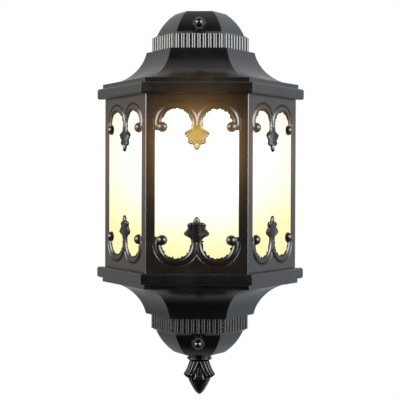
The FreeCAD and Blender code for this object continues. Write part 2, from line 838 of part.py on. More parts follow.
def tie_rods():
    made = []
    nuts = []
    lug_top = S.body_half_height + S.lug_rise + S.lug_height
    rod_end = lug_top + S.rod_nut_height + S.rod_spare
    for name, side in (("left", -1), ("right", 1)):
        place = (rod_out * side, -S.rod_depth)
        made.append(rod(f"{name}_tie_rod", S.rod_radius, rod_end * 2, *place, -rod_end))
        for level, low in (("top", lug_top), ("bottom", -lug_top - S.rod_nut_height)):
            thread = S.rod_radius + S.thread_clearance
            nuts.append(hex_nut(f"rod_nut_{name}_{level}", S.rod_nut_flat_radius, S.rod_nut_height,
                                thread, *place, low))
    return made + [group("tie_rod_nuts", *nuts)]


def lamp():
    """Bracket, lampholder and bulb, hanging in the roof."""
    under = bracket_height
    top = under + S.bracket_thickness
    front = S.lamp_depth + S.bracket_front
    angle = [
        (-plate_front, under - S.bracket_drop),
        (-plate_front, top),
        (-front, top),
        (-front, under),
        (-plate_front - S.bracket_thickness, under),
        (-plate_front - S.bracket_thickness, under - S.bracket_drop),
    ]
    strip = padded("bracket_strip", "YZ_Plane", angle, S.bracket_half_width * 2, -S.bracket_half_width)
    holes = [
        rod("bracket_nipple_hole", S.nipple_radius + S.hole_clearance, S.bracket_thickness * 2,
            0, -S.lamp_depth, under - S.bracket_thickness / 2)
    ]
    screws = []
    for place, height in enumerate(bracket_screw_heights()):
        holes.append(rod(f"bracket_hole_{place}", S.bracket_screw_radius + S.hole_clearance,
                         S.bracket_thickness * 3, 0, ZERO, height, FORWARD))
        screws.append(
            screw(
                f"bracket_screw_{place}",
                (S.bracket_screw_head_radius, S.bracket_screw_head_height),
                (S.bracket_screw_radius, S.bracket_thickness + S.plate_thickness),
                0, -plate_front - S.bracket_thickness, height,
            )
        )
    bracket = cut("lamp_bracket", strip, group("bracket_holes", *holes))

    nipple_low = under - S.nipple_sunk
    nipple_height = S.nipple_sunk + S.bracket_thickness + S.nipple_rise
    tube = rod("nipple_tube", S.nipple_radius, nipple_height, 0, -S.lamp_depth, nipple_low)
    bore = rod("nipple_bore", S.nipple_bore_radius, nipple_height, 0, -S.lamp_depth, nipple_low)
    nipple = cut("holder_nipple", tube, bore)
    nipple_nut = hex_nut("nipple_nut", S.nipple_nut_flat_radius, S.nipple_nut_height,
                         S.nipple_radius + S.thread_clearance, 0, -S.lamp_depth, top)

    socket = S.shell_radius + S.thread_clearance
    neck = S.nipple_radius + S.thread_clearance
    ceiling = S.holder_height - S.holder_socket_depth
    holder = turned(
        "lampholder",
        [
            (neck, ZERO),
            (S.holder_shoulder_radius, ZERO),
            (S.holder_radius, -S.holder_shoulder_height),
            (S.holder_radius, -S.holder_height),
            (socket, -S.holder_height),
            (socket, -ceiling),
            (ZERO, -ceiling),
            (ZERO, -S.nipple_sunk - S.thread_clearance),
            (neck, -S.nipple_sunk - S.thread_clearance),
        ],
        x=0, y=-S.lamp_depth, z=under,
    )
    socket_top = under - ceiling
    shell_low = under - S.holder_height
    shell_tube = rod("shell_tube", S.shell_radius, S.shell_height, 0, -S.lamp_depth, shell_low)
    shell_bore = rod("shell_bore", S.shell_radius - S.shell_wall, S.shell_height,
                     0, -S.lamp_depth, shell_low)
    shell = cut("screw_shell", shell_tube, shell_bore)
    contact = rod("centre_contact", S.contact_radius, S.contact_thickness,
                  0, -S.lamp_depth, socket_top - S.contact_thickness)

    cap_top = -S.cap_tip_height
    neck_top = cap_top - S.cap_height
    globe_top = neck_top - S.bulb_neck_height
    globe_end = neck_top - S.bulb_height
    bulb = turned(
        "bulb",
        [
            (ZERO, ZERO),
            (S.cap_tip_radius, ZERO),
            (S.cap_radius, cap_top),
            (S.cap_radius, neck_top),
            (S.bulb_radius, globe_top),
            (S.bulb_radius, globe_end + S.bulb_end_chamfer),
            (S.bulb_radius - S.bulb_end_chamfer, globe_end),
            (ZERO, globe_end),
        ],
        x=0, y=-S.lamp_depth, z=socket_top - S.contact_thickness,
    )
    return [bracket, group("bracket_screws", *screws), nipple, nipple_nut, holder, shell, contact, bulb]


def wiring():
    """Cable grommet, terminal block and earth screw on the plate."""
    grommet = turned(
        "cable_grommet",
        [
            (S.grommet_bore_radius, -S.plate_thickness),
            (S.grommet_sleeve_radius, -S.plate_thickness),
            (S.grommet_sleeve_radius, ZERO),
            (S.grommet_flange_radius, ZERO),
            (S.grommet_flange_radius, S.grommet_flange_height / 2),
            (S.grommet_sleeve_radius, S.grommet_flange_height),
            (S.grommet_bore_radius, S.grommet_flange_height),
        ],
        x=0, y=-plate_front, z=-S.grommet_drop, turn=FORWARD,
    )
    block_front = plate_front + S.block_depth
    base_low = (-S.block_half_width, -block_front, -S.block_drop - S.block_half_height)
    body = block("block_body", (S.block_half_width * 2, S.block_depth, S.block_half_height * 2), base_low)
    holes = []
    screws = []
    wire_depth = plate_front + S.block_wire_depth
    for place in (-1, 0, 1):
        across = S.block_pitch * place
        holes.append(rod(f"wire_hole_{place}", S.block_wire_radius, S.block_half_height * 3,
                         across, -wire_depth, -S.block_drop - S.block_half_height * 1.5))
        if place == 0:
            continue
        drop = -S.block_drop
        holes.append(rod(f"terminal_hole_{place}", S.terminal_screw_radius + S.thread_clearance,
                         S.block_depth, across, -wire_depth, drop, FORWARD))
        screws.append(rod(f"terminal_screw_{place}", S.terminal_screw_radius, S.terminal_screw_length,
                          across, S.terminal_screw_length - block_front, drop, FORWARD))
    holes.append(rod("block_screw_hole", S.block_screw_radius + S.hole_clearance, S.block_depth * 3,
                     0, S.block_depth, -S.block_drop, FORWARD))
    terminal_block = cut("terminal_block", body, fuse("block_holes", *holes))
    block_screw = screw(
        "block_screw",
        (S.block_screw_head_radius, S.block_screw_head_height),
        (S.block_screw_radius, S.block_depth + S.plate_thickness),
        0, -block_front, -S.block_drop,
    )
    earth = screw(
        "earth_screw",
        (S.earth_head_radius, S.earth_head_height),
        (S.earth_screw_radius, S.plate_thickness),
        S.earth_out, -plate_front, -S.block_drop,
    )
    return [grommet, terminal_block, group("terminal_screws", *screws), block_screw, earth]


def finial():
    """Half-round finial, flat at the wall: ring, calyx with notched petals, and bud."""
    chamfer = S.finial_ring_chamfer
    turned_form = turned(
        "finial_form",
        [
            (ZERO, ZERO),
            (S.finial_ring_radius - chamfer, ZERO),
            (S.finial_ring_radius, -chamfer),
            (S.finial_ring_radius, chamfer - S.finial_ring_height),
            (S.finial_ring_radius - chamfer, -S.finial_ring_height),
            (S.finial_neck_radius, -S.finial_neck_drop),
            (S.calyx_radius, -S.calyx_drop),
            (S.calyx_end_radius, -S.calyx_end_drop),
            (S.bud_tip_radius, -S.finial_drop),
            (ZERO, -S.finial_drop),
        ],
        {5: (S.calyx_curve, True), 7: (S.bud_curve, False)},
        z=-dome_top, sweep=180,
    )
    notch_low = -dome_top - S.calyx_end_drop - S.petal_notch_height / 10
    notch = padded(
        "petal_notch",
        "XZ_Plane",
        [
            (-S.petal_notch_half_width, notch_low),
            (S.petal_notch_half_width, notch_low),
            (ZERO, notch_low + S.petal_notch_height),
        ],
        S.calyx_radius,
        S.calyx_end_radius,
    )
    notched = cut("finial_notched", turned_form, group("petal_notches", *on_facets("petal_notch", notch)))
    hole = rod("finial_thread", S.finial_screw_radius + S.thread_clearance,
               S.finial_screw_bite + S.thread_clearance,
               0, -S.finial_screw_depth, -dome_top - S.finial_screw_bite - S.thread_clearance)
    shank = (S.finial_screw_radius, S.finial_screw_bite + S.roof_wall)
    head = (S.finial_screw_head_radius, S.finial_screw_head_height)
    fastener = screw("finial_screw", head, shank, 0, -S.finial_screw_depth, S.roof_wall - dome_top, UPRIGHT)
    return [cut("finial", notched, hole), fastener]


nodes = [
    *roof_and_base(),
    window_frame(),
    *glazing(),
    *wall_plate(),
    *fixings(),
    *tie_rods(),
    *lamp(),
    *wiring(),
    *finial(),
]
doc.recompute()

failed = [thing.Label for thing in doc.Objects if {"Invalid", "Error"} & set(thing.State)]
failed += [node.Label for node in nodes if node.Shape.isNull() or not node.Shape.isValid()]
if failed:
    raise RuntimeError(f"these did not build: {sorted(set(failed))}")

os.makedirs("parts", exist_ok=True)
for node in nodes:
    node.Shape.exportStep(f"parts/{node.Label}.step")
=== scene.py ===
import json
import math

import bmesh
import bpy
import numpy as np
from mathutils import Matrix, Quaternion, Vector
from mathutils.geometry import delaunay_2d_cdt


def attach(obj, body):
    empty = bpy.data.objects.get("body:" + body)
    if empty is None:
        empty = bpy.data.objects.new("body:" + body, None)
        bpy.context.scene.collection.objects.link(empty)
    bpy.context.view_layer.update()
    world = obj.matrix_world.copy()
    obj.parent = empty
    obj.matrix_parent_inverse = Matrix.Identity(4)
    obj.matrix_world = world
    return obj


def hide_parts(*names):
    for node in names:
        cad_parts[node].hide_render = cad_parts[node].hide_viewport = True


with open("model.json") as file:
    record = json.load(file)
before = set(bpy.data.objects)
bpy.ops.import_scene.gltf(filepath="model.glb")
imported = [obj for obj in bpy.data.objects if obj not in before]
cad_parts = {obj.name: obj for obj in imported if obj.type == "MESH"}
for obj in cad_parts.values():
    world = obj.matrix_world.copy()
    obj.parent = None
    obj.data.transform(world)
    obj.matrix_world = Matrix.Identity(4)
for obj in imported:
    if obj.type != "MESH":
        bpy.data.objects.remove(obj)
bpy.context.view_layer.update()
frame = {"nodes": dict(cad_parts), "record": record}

# A lit half-hexagon wall lantern. Lengths are in millimetres and become metres in the meshes.
# On a facet, u runs across, z runs up and h stands out from the facet's face. The quarters of a
# window are alike, so a and b are the distances across and up from the window's middle.

MM = 0.001
rng = np.random.default_rng(7)

# Window frame: the face's distance from the lantern's axis, the walls and the pocket for a pane
FACE = 82.619
FRAME_WALL = 3.9
LIP = 0.9
FACET_TURN = 60.0
CORNER_SLOPE = math.tan(math.radians(FACET_TURN / 2))
HALF_SIDE = 47.7
INNER_HALF_SIDE = HALF_SIDE - FRAME_WALL * CORNER_SLOPE
HALF_HEIGHT = 83.6
POCKET = (41.4, 78.4)
CHAMFER = 0.45
LINE_END = HALF_SIDE - CHAMFER / 4
WINDOW = 39.0
# Each facet's turn, and the side on which it meets the wall
FACETS = {"front": (0.0, 0), "left": (-FACET_TURN, -1), "right": (FACET_TURN, 1)}

# Warm glare from the lit glass, painted as emission on the metal around it
HALO = 0.105
GLARE_HAZE = 0.006
HALO_REACH = 7.5
HALO_Z = 28.0
HALO_SPREAD = 42.0
HALO_POST = (28.0, 32.0)
HALO_RAIL = (66.0, 71.0)
GLARE_SPOT = (0.0, -82.6, 45.0)
GLARE = 0.165
GLARE_START = 22.0
GLARE_REACH = 14.0
GLARE_MOST = 0.6


def mesh_object(name, verts, faces):
    mesh = bpy.data.meshes.new(name)
    mesh.from_pydata((np.asarray(verts) * MM).tolist(), [], [list(map(int, f)) for f in faces])
    mesh.update()
    obj = bpy.data.objects.new(name, mesh)
    bpy.context.scene.collection.objects.link(obj)
    mesh.polygons.foreach_set("use_smooth", [True] * len(mesh.polygons))
    return obj


def point_values(obj, name, values):
    """Stores one number for each vertex, for the materials."""
    attribute = obj.data.attributes.new(name, "FLOAT", "POINT")
    attribute.data.foreach_set("value", np.asarray(values, np.float32))


def sharpen(obj, degrees):
    """Splits the shading along edges sharper than an angle."""
    bm = bmesh.new()
    bm.from_mesh(obj.data)
    bmesh.ops.recalc_face_normals(bm, faces=bm.faces)
    limit = math.radians(degrees)
    for edge in bm.edges:
        if len(edge.link_faces) == 2 and edge.calc_face_angle(0.0) > limit:
            edge.smooth = False
    bm.to_mesh(obj.data)
    bm.free()


def on_facet(degrees, u, z, h):
    """Facet coordinates to the lantern's own."""
    turn = math.radians(degrees)
    out = FACE + h
    x = u * math.cos(turn) + out * math.sin(turn)
    y = u * math.sin(turn) - out * math.cos(turn)
    return np.stack([x, y, z], axis=-1)


def between(value, start, end):
    """Zero up to start, one from end on and straight between; end may be the smaller."""
    return np.clip((value - start) / (end - start), 0, 1)


def lamp_glow(z):
    """Share of the painted warm glare at a height."""
    return np.exp(-((z - HALO_Z) / HALO_SPREAD) ** 2)


# Distances on a facet; negative is inside

FAR_AWAY = 1e9
TINY = 1e-9
CORNER_CUT = 0.25


def disc(a, b, centre, radius):
    return np.hypot(a - centre[0], b - centre[1]) - radius


def segment(a, b, start, end):
    """Distance to a straight stroke."""
    du, dz = end[0] - start[0], end[1] - start[1]
    share = ((a - start[0]) * du + (b - start[1]) * dz) / (du * du + dz * dz)
    share = np.clip(share, 0, 1)
    return np.hypot(a - start[0] - share * du, b - start[1] - share * dz)


def polygon(a, b, points):
    points = np.asarray(points)
    far = np.full(a.shape, FAR_AWAY)
    inside = np.zeros(a.shape, bool)
    for start, end in zip(points, np.roll(points, -1, axis=0)):
        far = np.minimum(far, segment(a, b, start, end))
        crosses = (start[1] > b) != (end[1] > b)
        rise = end[1] - start[1]
        if abs(rise) < TINY:
            rise = TINY
        inside ^= crosses & (a < start[0] + (b - start[1]) * (end[0] - start[0]) / rise)
    return np.where(inside, -far, far)


def blend_min(one, two, reach):
    share = np.clip(0.5 + 0.5 * (two - one) / reach, 0, 1)
    return two + (one - two) * share - reach * share * (1 - share)


def corners_cut(points):
    """Puts two points in the place of each corner."""
    points = np.asarray(points, float)
    after = np.roll(points, -1, axis=0)
    near, far = 1 - CORNER_CUT, CORNER_CUT
    return np.stack([near * points + far * after, far * points + near * after], 1).reshape(-1, 2)


# Outline of the ornament: round arches on a stem, feet with balls at the posts, and leaves
ARCH = (19.1, 56.0)
HOLE_R = 14.4
STEM = ARCH[0] - HOLE_R
STEM_LOW = 50.0
FOOT_START = 33.5
FOOT_LOW = 49.5
PLATE_LAP = 60.0
BALL = (32.2, 52.7)
BALL_R = 4.95
BLEND = 0.6
LEAF_HALF = [
    (4.7, 56.0), (4.9, 54.2), (5.1, 52.4), (6.5, 50.3), (10.0, 49.0), (12.2, 47.3), (11.7, 45.7),
    (10.6, 44.4), (9.3, 42.8), (7.8, 41.6), (8.8, 40.6), (8.9, 38.3), (7.4, 36.7), (5.4, 36.2),
    (3.5, 36.2), (3.4, 35.2), (2.8, 33.4), (1.3, 31.4),
]
LEAF_TIP = 30.4

# Relief of the arches: a channel inside a groove, a wide roll, and a bead that ends in a curl
CHANNEL = -0.8
CHANNEL_FADE = (49.5, 52.5)
GROOVE_R = 21.7
GROOVE_WALL = 0.5
ORNAMENT_LOW = 29.0
ROLL_R = 17.4
ROLL_HALF = 2.9
ROLL_ROUND = 3.7
ROLL_TOP = 0.6
ROLL_END_OUTSIDE = 51.0
ROLL_END_INSIDE = 47.0
ROLL_SINK = (54.0, 50.0)
EDGE_ROUND = 0.9
FOOT_RISE = 1.0
FOOT_INNER = 33.0
FOOT_TOP = 54.0
BEAD_R = 18.9
BEAD_HALF = 1.3
BEAD_ROUND = 1.9
BEAD_TOP = 0.1
CURL = (32.7, 53.2)
CURL_R = 4.8
CURL_START = -2.0
CURL_END = 115.0
CURL_TAPER = 230.0
NO_CURL = 9.0
BALL_SUNK = 0.8
LEAST_LIP = 0.04

# Relief of a leaf: slanting ribs, a swelling blade and a ridged tip
CHEVRON_SLOPE = 0.95
FLUTE_PITCH = 3.3
FLUTE_START = 0.4
SCALLOP = 0.25
SCALLOP_ACROSS = (4.5, 7.5)
SCALLOP_UP = (49.0, 47.0)
LEAF_TOP = 54.0
LEAF_RISE = 1.6
LEAF_SWELL = 0.03
RIB_RISE = 0.27
RIB_LEAST = 0.3
RIB_ACROSS = 2.5
RIB_RIM = 0.8
RIB_LOW = (35.8, 37.8)
RIB_HIGH = (52.5, 49.5)
TIP_RIDGE = 0.6
TIP_RIDGE_HALF = 0.55
TIP_RIDGE_UP = (39.0, 36.0)
TIP_SWELL = 0.7
TIP_SWELL_ACROSS = (3.8, 0.0)
TIP_SWELL_UP = (37.0, 33.0)


def leaf_outline():
    left = [(-u, z) for u, z in reversed(LEAF_HALF)]
    return corners_cut([(0.0, LEAF_HALF[0][1]), *LEAF_HALF, (0.0, LEAF_TIP), *left])


LEAF = leaf_outline()


def cushion(away, radius, top):
    """Height of a round moulding whose crest is at top."""
    return top - radius + np.sqrt(np.maximum(radius ** 2 - away ** 2, 0))


def shoulder(depth, rise):
    """Height of a rounded edge that rises from the channel with the depth inside it."""
    return CHANNEL + rise * (1 - np.exp(-depth / EDGE_ROUND))


def raised(height, where, moulding):
    return np.where(where, np.maximum(height, moulding), height)


def leaf_flute(a, b):
    """Wave across the slanting ribs of a leaf: 1 on a crest, -1 between two."""
    chevron = b + CHEVRON_SLOPE * a
    return np.cos(2 * math.pi * (chevron - FLUTE_START) / FLUTE_PITCH)


def leaf_edge(a, b):
    """Signed distance of a leaf, with an edge that its ribs scallop."""
    scallop = SCALLOP * leaf_flute(a, b) * between(a, *SCALLOP_ACROSS) * between(b, *SCALLOP_UP)
    return polygon(a, b, LEAF) - scallop


def arch_relief(a, b):
    """Heights of the channel, the roll, the foot and the bead with its curl."""
    round_arch = np.hypot(a - ARCH[0], b - ARCH[1])
    around = np.where(b >= ARCH[1], round_arch, np.abs(a - ARCH[0]))
    outside = a > ARCH[0]
    fade = np.where((b < ARCH[1]) & outside, between(b, *CHANNEL_FADE), 1.0)
    height = CHANNEL * fade * between(around, GROOVE_R, GROOVE_R - GROOVE_WALL)
    height = np.where(b < ORNAMENT_LOW, 0.0, height)

    roll = np.abs(around - ROLL_R)
    on_roll = (roll < ROLL_HALF) & (np.where(outside, ROLL_END_OUTSIDE, ROLL_END_INSIDE) < b)
    height = raised(height, on_roll, cushion(roll, ROLL_ROUND, ROLL_TOP) - between(b, *ROLL_SINK))
    on_foot = (a > FOOT_INNER) & (a < WINDOW) & (b > FOOT_LOW) & (b < FOOT_TOP)
    height = raised(height, on_foot, shoulder(np.maximum(b - FOOT_LOW, 0), FOOT_RISE))

    down = segment(a, b, (ARCH[0] + BEAD_R, ARCH[1]), (CURL[0] + CURL_R, CURL[1]))
    swing = np.degrees(np.arctan2(CURL[1] - b, a - CURL[0]))
    curl = np.abs(disc(a, b, CURL, CURL_R))
    curl = np.where((swing >= CURL_START) & (swing < CURL_END), curl, NO_CURL)
    taper = 1 - np.clip(swing, 0, CURL_END) / CURL_TAPER
    for away, thick in ((down, 1.0), (curl, taper)):
        height = raised(height, away < BEAD_HALF * thick, cushion(away, BEAD_ROUND * thick, BEAD_TOP))
    return height


def leaf_relief(a, b, edge):
    """Heights of a leaf's blade, ribs and tip."""
    depth = np.maximum(-edge, 0)
    blade = shoulder(depth, LEAF_RISE) + LEAF_SWELL * depth
    ribbed = np.clip(a / RIB_ACROSS, RIB_LEAST, 1) * between(b, *RIB_LOW) * between(b, *RIB_HIGH)
    ribs = RIB_RISE * leaf_flute(a, b) * ribbed * np.clip(depth / RIB_RIM, RIB_LEAST, 1)
    ridge = TIP_RIDGE * np.exp(-(a / TIP_RIDGE_HALF) ** 2) * between(b, *TIP_RIDGE_UP)
    swell = TIP_SWELL * between(b, *TIP_SWELL_UP) * between(a, *TIP_SWELL_ACROSS)
    return blade + ribs + ridge + swell


def tracery(u, z):
    """Signed distance of the frame's outline, and its relief, over one facet."""
    a, b = np.abs(u), np.abs(z)
    ball = disc(a, b, BALL, BALL_R)
    leaf = leaf_edge(a, b)

    plate = np.maximum(ARCH[1] - b, -disc(a, b, ARCH, HOLE_R))
    stem = np.maximum(a - STEM, np.maximum(STEM_LOW - b, b - PLATE_LAP))
    foot = np.maximum(FOOT_START - a, np.maximum(FOOT_LOW - b, b - PLATE_LAP))
    outline = np.minimum(WINDOW - a, np.minimum(plate, stem))
    outline = np.minimum(blend_min(outline, foot, BLEND), ball)
    outline = blend_min(outline, leaf, BLEND)

    height = arch_relief(a, b)
    dome = -BALL_SUNK + np.sqrt(np.maximum(BALL_R ** 2 - (ball + BALL_R) ** 2, 0))
    height = raised(height, ball < 0, dome)
    height = raised(height, (leaf < 0) & (b < LEAF_TOP), leaf_relief(a, b, leaf))
    return outline, np.maximum(height, LEAST_LIP - LIP)


# Grid over a facet, and how its points are drawn on to the outline
STEP = 0.45
POST_COLUMNS = [39.35, 39.7, 40.05, 40.4, 40.8, 42.5, 44.5]
PLAIN_ROWS = [0, 9, 18, 25, 28.5]
FINE_ROWS = (29.5, 79.0)
RAIL_ROWS = [79.6, 81.4]
DRAWN_ROWS = (29.0, 78.8)
EDGE_GAP = 0.01
DRAWS = 2
PROBE = 0.05
LEAST_SLOPE = 0.3
NEAR_LINE = 0.62 * STEP
ON_LINE = 0.06
LIP_LINE = 0.05
FILL_GAP = 1e-5
NOT_FRONT = 99.0


def mirrored(half, sign):
    """Values from the far side, over the middle, to the near side."""
    return np.concatenate([sign * half[:0:-1], half])


def facet_grid():
    """Columns and rows that are close together only over the ornament, and the fall at the ends."""
    inner = np.arange(0, WINDOW + STEP, STEP)
    inner[-1] = WINDOW
    half = np.concatenate([inner, POST_COLUMNS, [HALF_SIDE - CHAMFER, LINE_END]])
    fall = np.zeros(len(half))
    fall[-1] = -CHAMFER / 4 / CORNER_SLOPE
    up = np.concatenate([PLAIN_ROWS, np.arange(*FINE_ROWS, STEP), RAIL_ROWS, [HALF_HEIGHT]])
    return mirrored(half, -1), mirrored(up, -1), mirrored(fall, 1)


def facet_points():
    """Grid points drawn on to the outline, their relief, and the cells that are metal."""
    columns, rows, fall = facet_grid()
    u, z = np.meshgrid(columns, rows, indexing="ij")
    drawn = (np.abs(u) < WINDOW - EDGE_GAP) & (np.abs(z) > DRAWN_ROWS[0]) & (np.abs(z) < DRAWN_ROWS[1])
    for _ in range(DRAWS):
        outline, _ = tracery(u, z)
        right, _ = tracery(u + PROBE, z)
        above, _ = tracery(u, z + PROBE)
        slope_u, slope_z = (right - outline) / PROBE, (above - outline) / PROBE
        size = np.maximum(np.hypot(slope_u, slope_z), LEAST_SLOPE)
        near = drawn & (np.abs(outline) < NEAR_LINE)
        u = np.where(near, u - outline * slope_u / size ** 2, u)
        z = np.where(near, z - outline * slope_z / size ** 2, z)
    outline, height = tracery(u, z)
    solid = outline <= ON_LINE
    cells = solid[:-1, :-1] & solid[1:, :-1] & solid[1:, 1:] & solid[:-1, 1:]
    return u, z, height + fall[:, None], outline, cells


def rim_of(quads):
    """Edges that belong to one cell only, in the cell's own direction."""
    edges = np.concatenate([quads[:, [k, (k + 1) % 4]] for k in range(4)])
    _, where, times = np.unique(np.sort(edges, axis=1), axis=0, return_inverse=True, return_counts=True)
    return edges[times[where.reshape(-1)] == 1]


def flat_fill(points, edges, keep):
    """Triangles between closed lines of flat points; keep says which middles stay."""
    used, edges = np.unique(edges, return_inverse=True)
    edges = edges.reshape(-1, 2)
    flat = [Vector(p) for p in points[used]]
    made, _, faces, origin, _, _ = delaunay_2d_cdt(flat, edges.tolist(), [], 1, FILL_GAP)
    made = np.array([tuple(p) for p in made])
    faces = np.array([f for f in faces if len(f) == 3])
    middle = made[faces].mean(axis=1)
    faces = faces[keep(middle[:, 0], middle[:, 1])]
    back = np.array([used[o[0]] if o else -1 for o in origin])
    faces = back[faces]
    return faces[(faces >= 0).all(axis=1)]


def in_pocket(u, z):
    return (np.abs(u) < POCKET[0]) & (np.abs(z) < POCKET[1])


def is_lip(u, z):
    return (tracery(u, z)[0] < LIP_LINE) & in_pocket(u, z)


def is_rail(u, z):
    return (np.abs(u) > POCKET[0]) | (np.abs(z) > POCKET[1])


def facet_shell(free_end):
    """Flat points, heights and faces of one facet with the pocket for its pane behind."""
    u, z, height, outline, cells = facet_points()
    wide = cells.shape[1] + 1
    i, j = np.nonzero(cells)
    first = i * wide + j
    quads = np.stack([first, first + wide, first + wide + 1, first + 1], 1)
    u, z, height, outline = (values.ravel() for values in (u, z, height, outline))
    count = len(u)

    end = np.abs(u) > HALF_SIDE - CHAMFER / 2
    border = end | (np.abs(z) > HALF_HEIGHT - EDGE_GAP)
    over = np.maximum(np.abs(u) - WINDOW, 0) * (INNER_HALF_SIDE - WINDOW) / (LINE_END - WINDOW)
    back_u = np.where(np.abs(u) > WINDOW, np.sign(u) * (WINDOW + over), u)
    back_h = np.where(border, -FRAME_WALL, -LIP)
    pocket = [(POCKET[0] * s, POCKET[1] * t) for s, t in ((-1, -1), (1, -1), (1, 1), (-1, 1))]
    flat = np.concatenate([np.stack([u, z], 1), np.stack([back_u, z], 1), pocket, pocket])
    high = np.concatenate([height, back_h, np.full(4, -LIP), np.full(4, -FRAME_WALL)])

    rim = rim_of(quads)
    joint = end[rim].all(axis=1) & (np.sign(u[rim[:, 0]]) != free_end)
    wall = rim[~joint]
    walls = np.stack([wall[:, 1], wall[:, 0], wall[:, 0] + count, wall[:, 1] + count], 1)
    shallow = 2 * count + np.arange(4)
    deep = shallow + 4
    ring = np.stack([shallow, np.roll(shallow, -1)], 1)
    steps = np.stack([shallow, np.roll(shallow, -1), np.roll(deep, -1), deep], 1)
    outer = border[rim].all(axis=1)
    lip = flat_fill(flat, np.concatenate([rim[~outer] + count, ring]), is_lip)
    rails = flat_fill(flat, np.concatenate([rim[outer] + count, ring + 4]), is_rail)
    inward = np.concatenate([np.maximum(-outline, 0), np.full(len(flat) - count, NOT_FRONT)])
    return flat, high, inward, [quads, walls, steps], [lip, rails]


# How much shine the coat is given: full on faces, less in grooves as painted shade, a little less on
# mouldings to soften their highlights, and over a leaf's ribs high on crests as painted highlights and low
# between them as painted shade
FACE_SHINE = 0.95
GROOVE_SHADE = 0.9
GROOVE_LEAST = 0.3
MOULDING_SHINE_CUT = 0.2
MOULDING_HIGH = 0.5
RIB_LOW_SHINE = 0.12
RIB_SHINE_GAIN = 0.85
RIB_SOFT = 0.625
RIB_SHINE_UP = (34.0, 52.0)
LEAF_MARGIN = 0.1
FRAME_SHARP = 29


def shade_and_shine(flat, high):
    """Less shine in grooves and between the ribs of a leaf, as painted shade; more elsewhere, with painted
    highlights on rib crests.
    """
    a, b = np.abs(flat[:, 0]), np.abs(flat[:, 1])
    painted_light = FACE_SHINE * np.clip(1 + GROOVE_SHADE * high, GROOVE_LEAST, 1)
    painted_light -= MOULDING_SHINE_CUT * between(high, 0, MOULDING_HIGH)
    crest = RIB_LOW_SHINE + RIB_SHINE_GAIN * between(leaf_flute(a, b), -RIB_SOFT, RIB_SOFT)
    on_ribs = (polygon(a, b, LEAF) < LEAF_MARGIN) & (b > RIB_SHINE_UP[0]) & (b < RIB_SHINE_UP[1])
    return np.where(on_ribs, crest, painted_light)


def window_frame():
    """The three facets joined into one casting with a pocket behind each window."""
    verts, halo, painted_shine, quads, triangles = [], [], [], [], []
    total = 0
    for degrees, free_end in FACETS.values():
        flat, high, inward, fours, threes = facet_shell(free_end)
        u, z = flat[:, 0], flat[:, 1]
        verts.append(on_facet(degrees, u, z, high))
        # Painted glare: a warm glow on the bars next to the lit glass, and a faint one all over
        bars = np.maximum(between(np.abs(u), *HALO_POST), between(z, *HALO_RAIL))
        halo.append(HALO * np.exp(-inward / HALO_REACH) * lamp_glow(z) * bars + GLARE_HAZE)
        # Painted shade in grooves and painted highlights on crests, carried as the coat's shine
        painted_shine.append(shade_and_shine(flat, high))
        quads += [total + faces for faces in fours]
        triangles += [total + faces for faces in threes]
        total += len(flat)
    verts, halo, painted_shine = (np.concatenate(values) for values in (verts, halo, painted_shine))
    _, first, same = np.unique(np.round(verts, 3), axis=0, return_index=True, return_inverse=True)
    same = same.reshape(-1)
    faces = [f for f in same[np.concatenate(quads)] if len(set(f)) == 4]
    faces += [f for f in same[np.concatenate(triangles)] if len(set(f)) == 3]
    used = np.unique(np.concatenate(faces))
    place = np.full(len(first), -1)
    place[used] = np.arange(len(used))
    keep = first[used]
    obj = mesh_object("window_casting", verts[keep], [place[f] for f in faces])
    sharpen(obj, FRAME_SHARP)
    point_values(obj, "halo", halo[keep])
    point_values(obj, "painted_shine", painted_shine[keep])
    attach(obj, "root")
    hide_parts("window_frame")
    return obj


# Finial: radii of ring, bud and petals at depths below the base, and the petals' edges and ribs
DOME_END = -169.0
FINIAL_DROP = 42.0
RING_D = [0, 1.2, 2.4, 3.3, 3.8, 4.3, 4.8, 5.5, 6.3, 7.0, 7.6, 8.2]
RING_R = [10.9, 11.6, 12.05, 11.9, 11.55, 11.7, 12.3, 12.6, 12.3, 11.5, 10.6, 9.9]
BUD_D = [0, 8, 14, 20, 24, 26, 28, 30, 32, 34, 36, 38, 40, 41, FINIAL_DROP]
BUD_R = [7.6, 8.0, 8.8, 10.4, 11.2, 11.2, 10.6, 9.5, 8.5, 7.3, 6.2, 4.9, 3.3, 2.3, 0.9]
PETAL_D = [0, 8, 9, 10, 12, 14, 16, 18, 20, 21, 22, 24, 26, FINIAL_DROP]
PETAL_R = [9.5, 9.7, 9.9, 10.4, 11.0, 11.7, 12.4, 13.5, 14.8, 15.3, 15.2, 14.3, 12.6, 0.0]
FINIAL_COLUMNS = 181
RING_ROWS = 50
BUD_ROWS = 140
RING_END = RING_D[-1]
BUD_START = 8.4
TIP_GAP = 0.03
BUD_FLUTE = 0.006
BUD_FLUTES = 18
PETAL_TOP = 9.0
PETAL_LENGTH = 14.5
PETAL_MOST = 1.1
PETAL_PART = 28.0
PETAL_NARROW = 0.28
PETAL_END = 26.0
PETAL_END_RISE = 2.0
PETAL_END_CURVE = 1.4
PETAL_RIB = 0.5
PETAL_RIB_TURN = 22.0
PETAL_RIB_FIRST = 8.0
PETAL_RIB_SHINE = 4
PETAL_SIDE_ROUND = 8.0
PETAL_END_ROUND = 2.2
PETAL_PROUD = 0.2
FINIAL_SHARP = 55


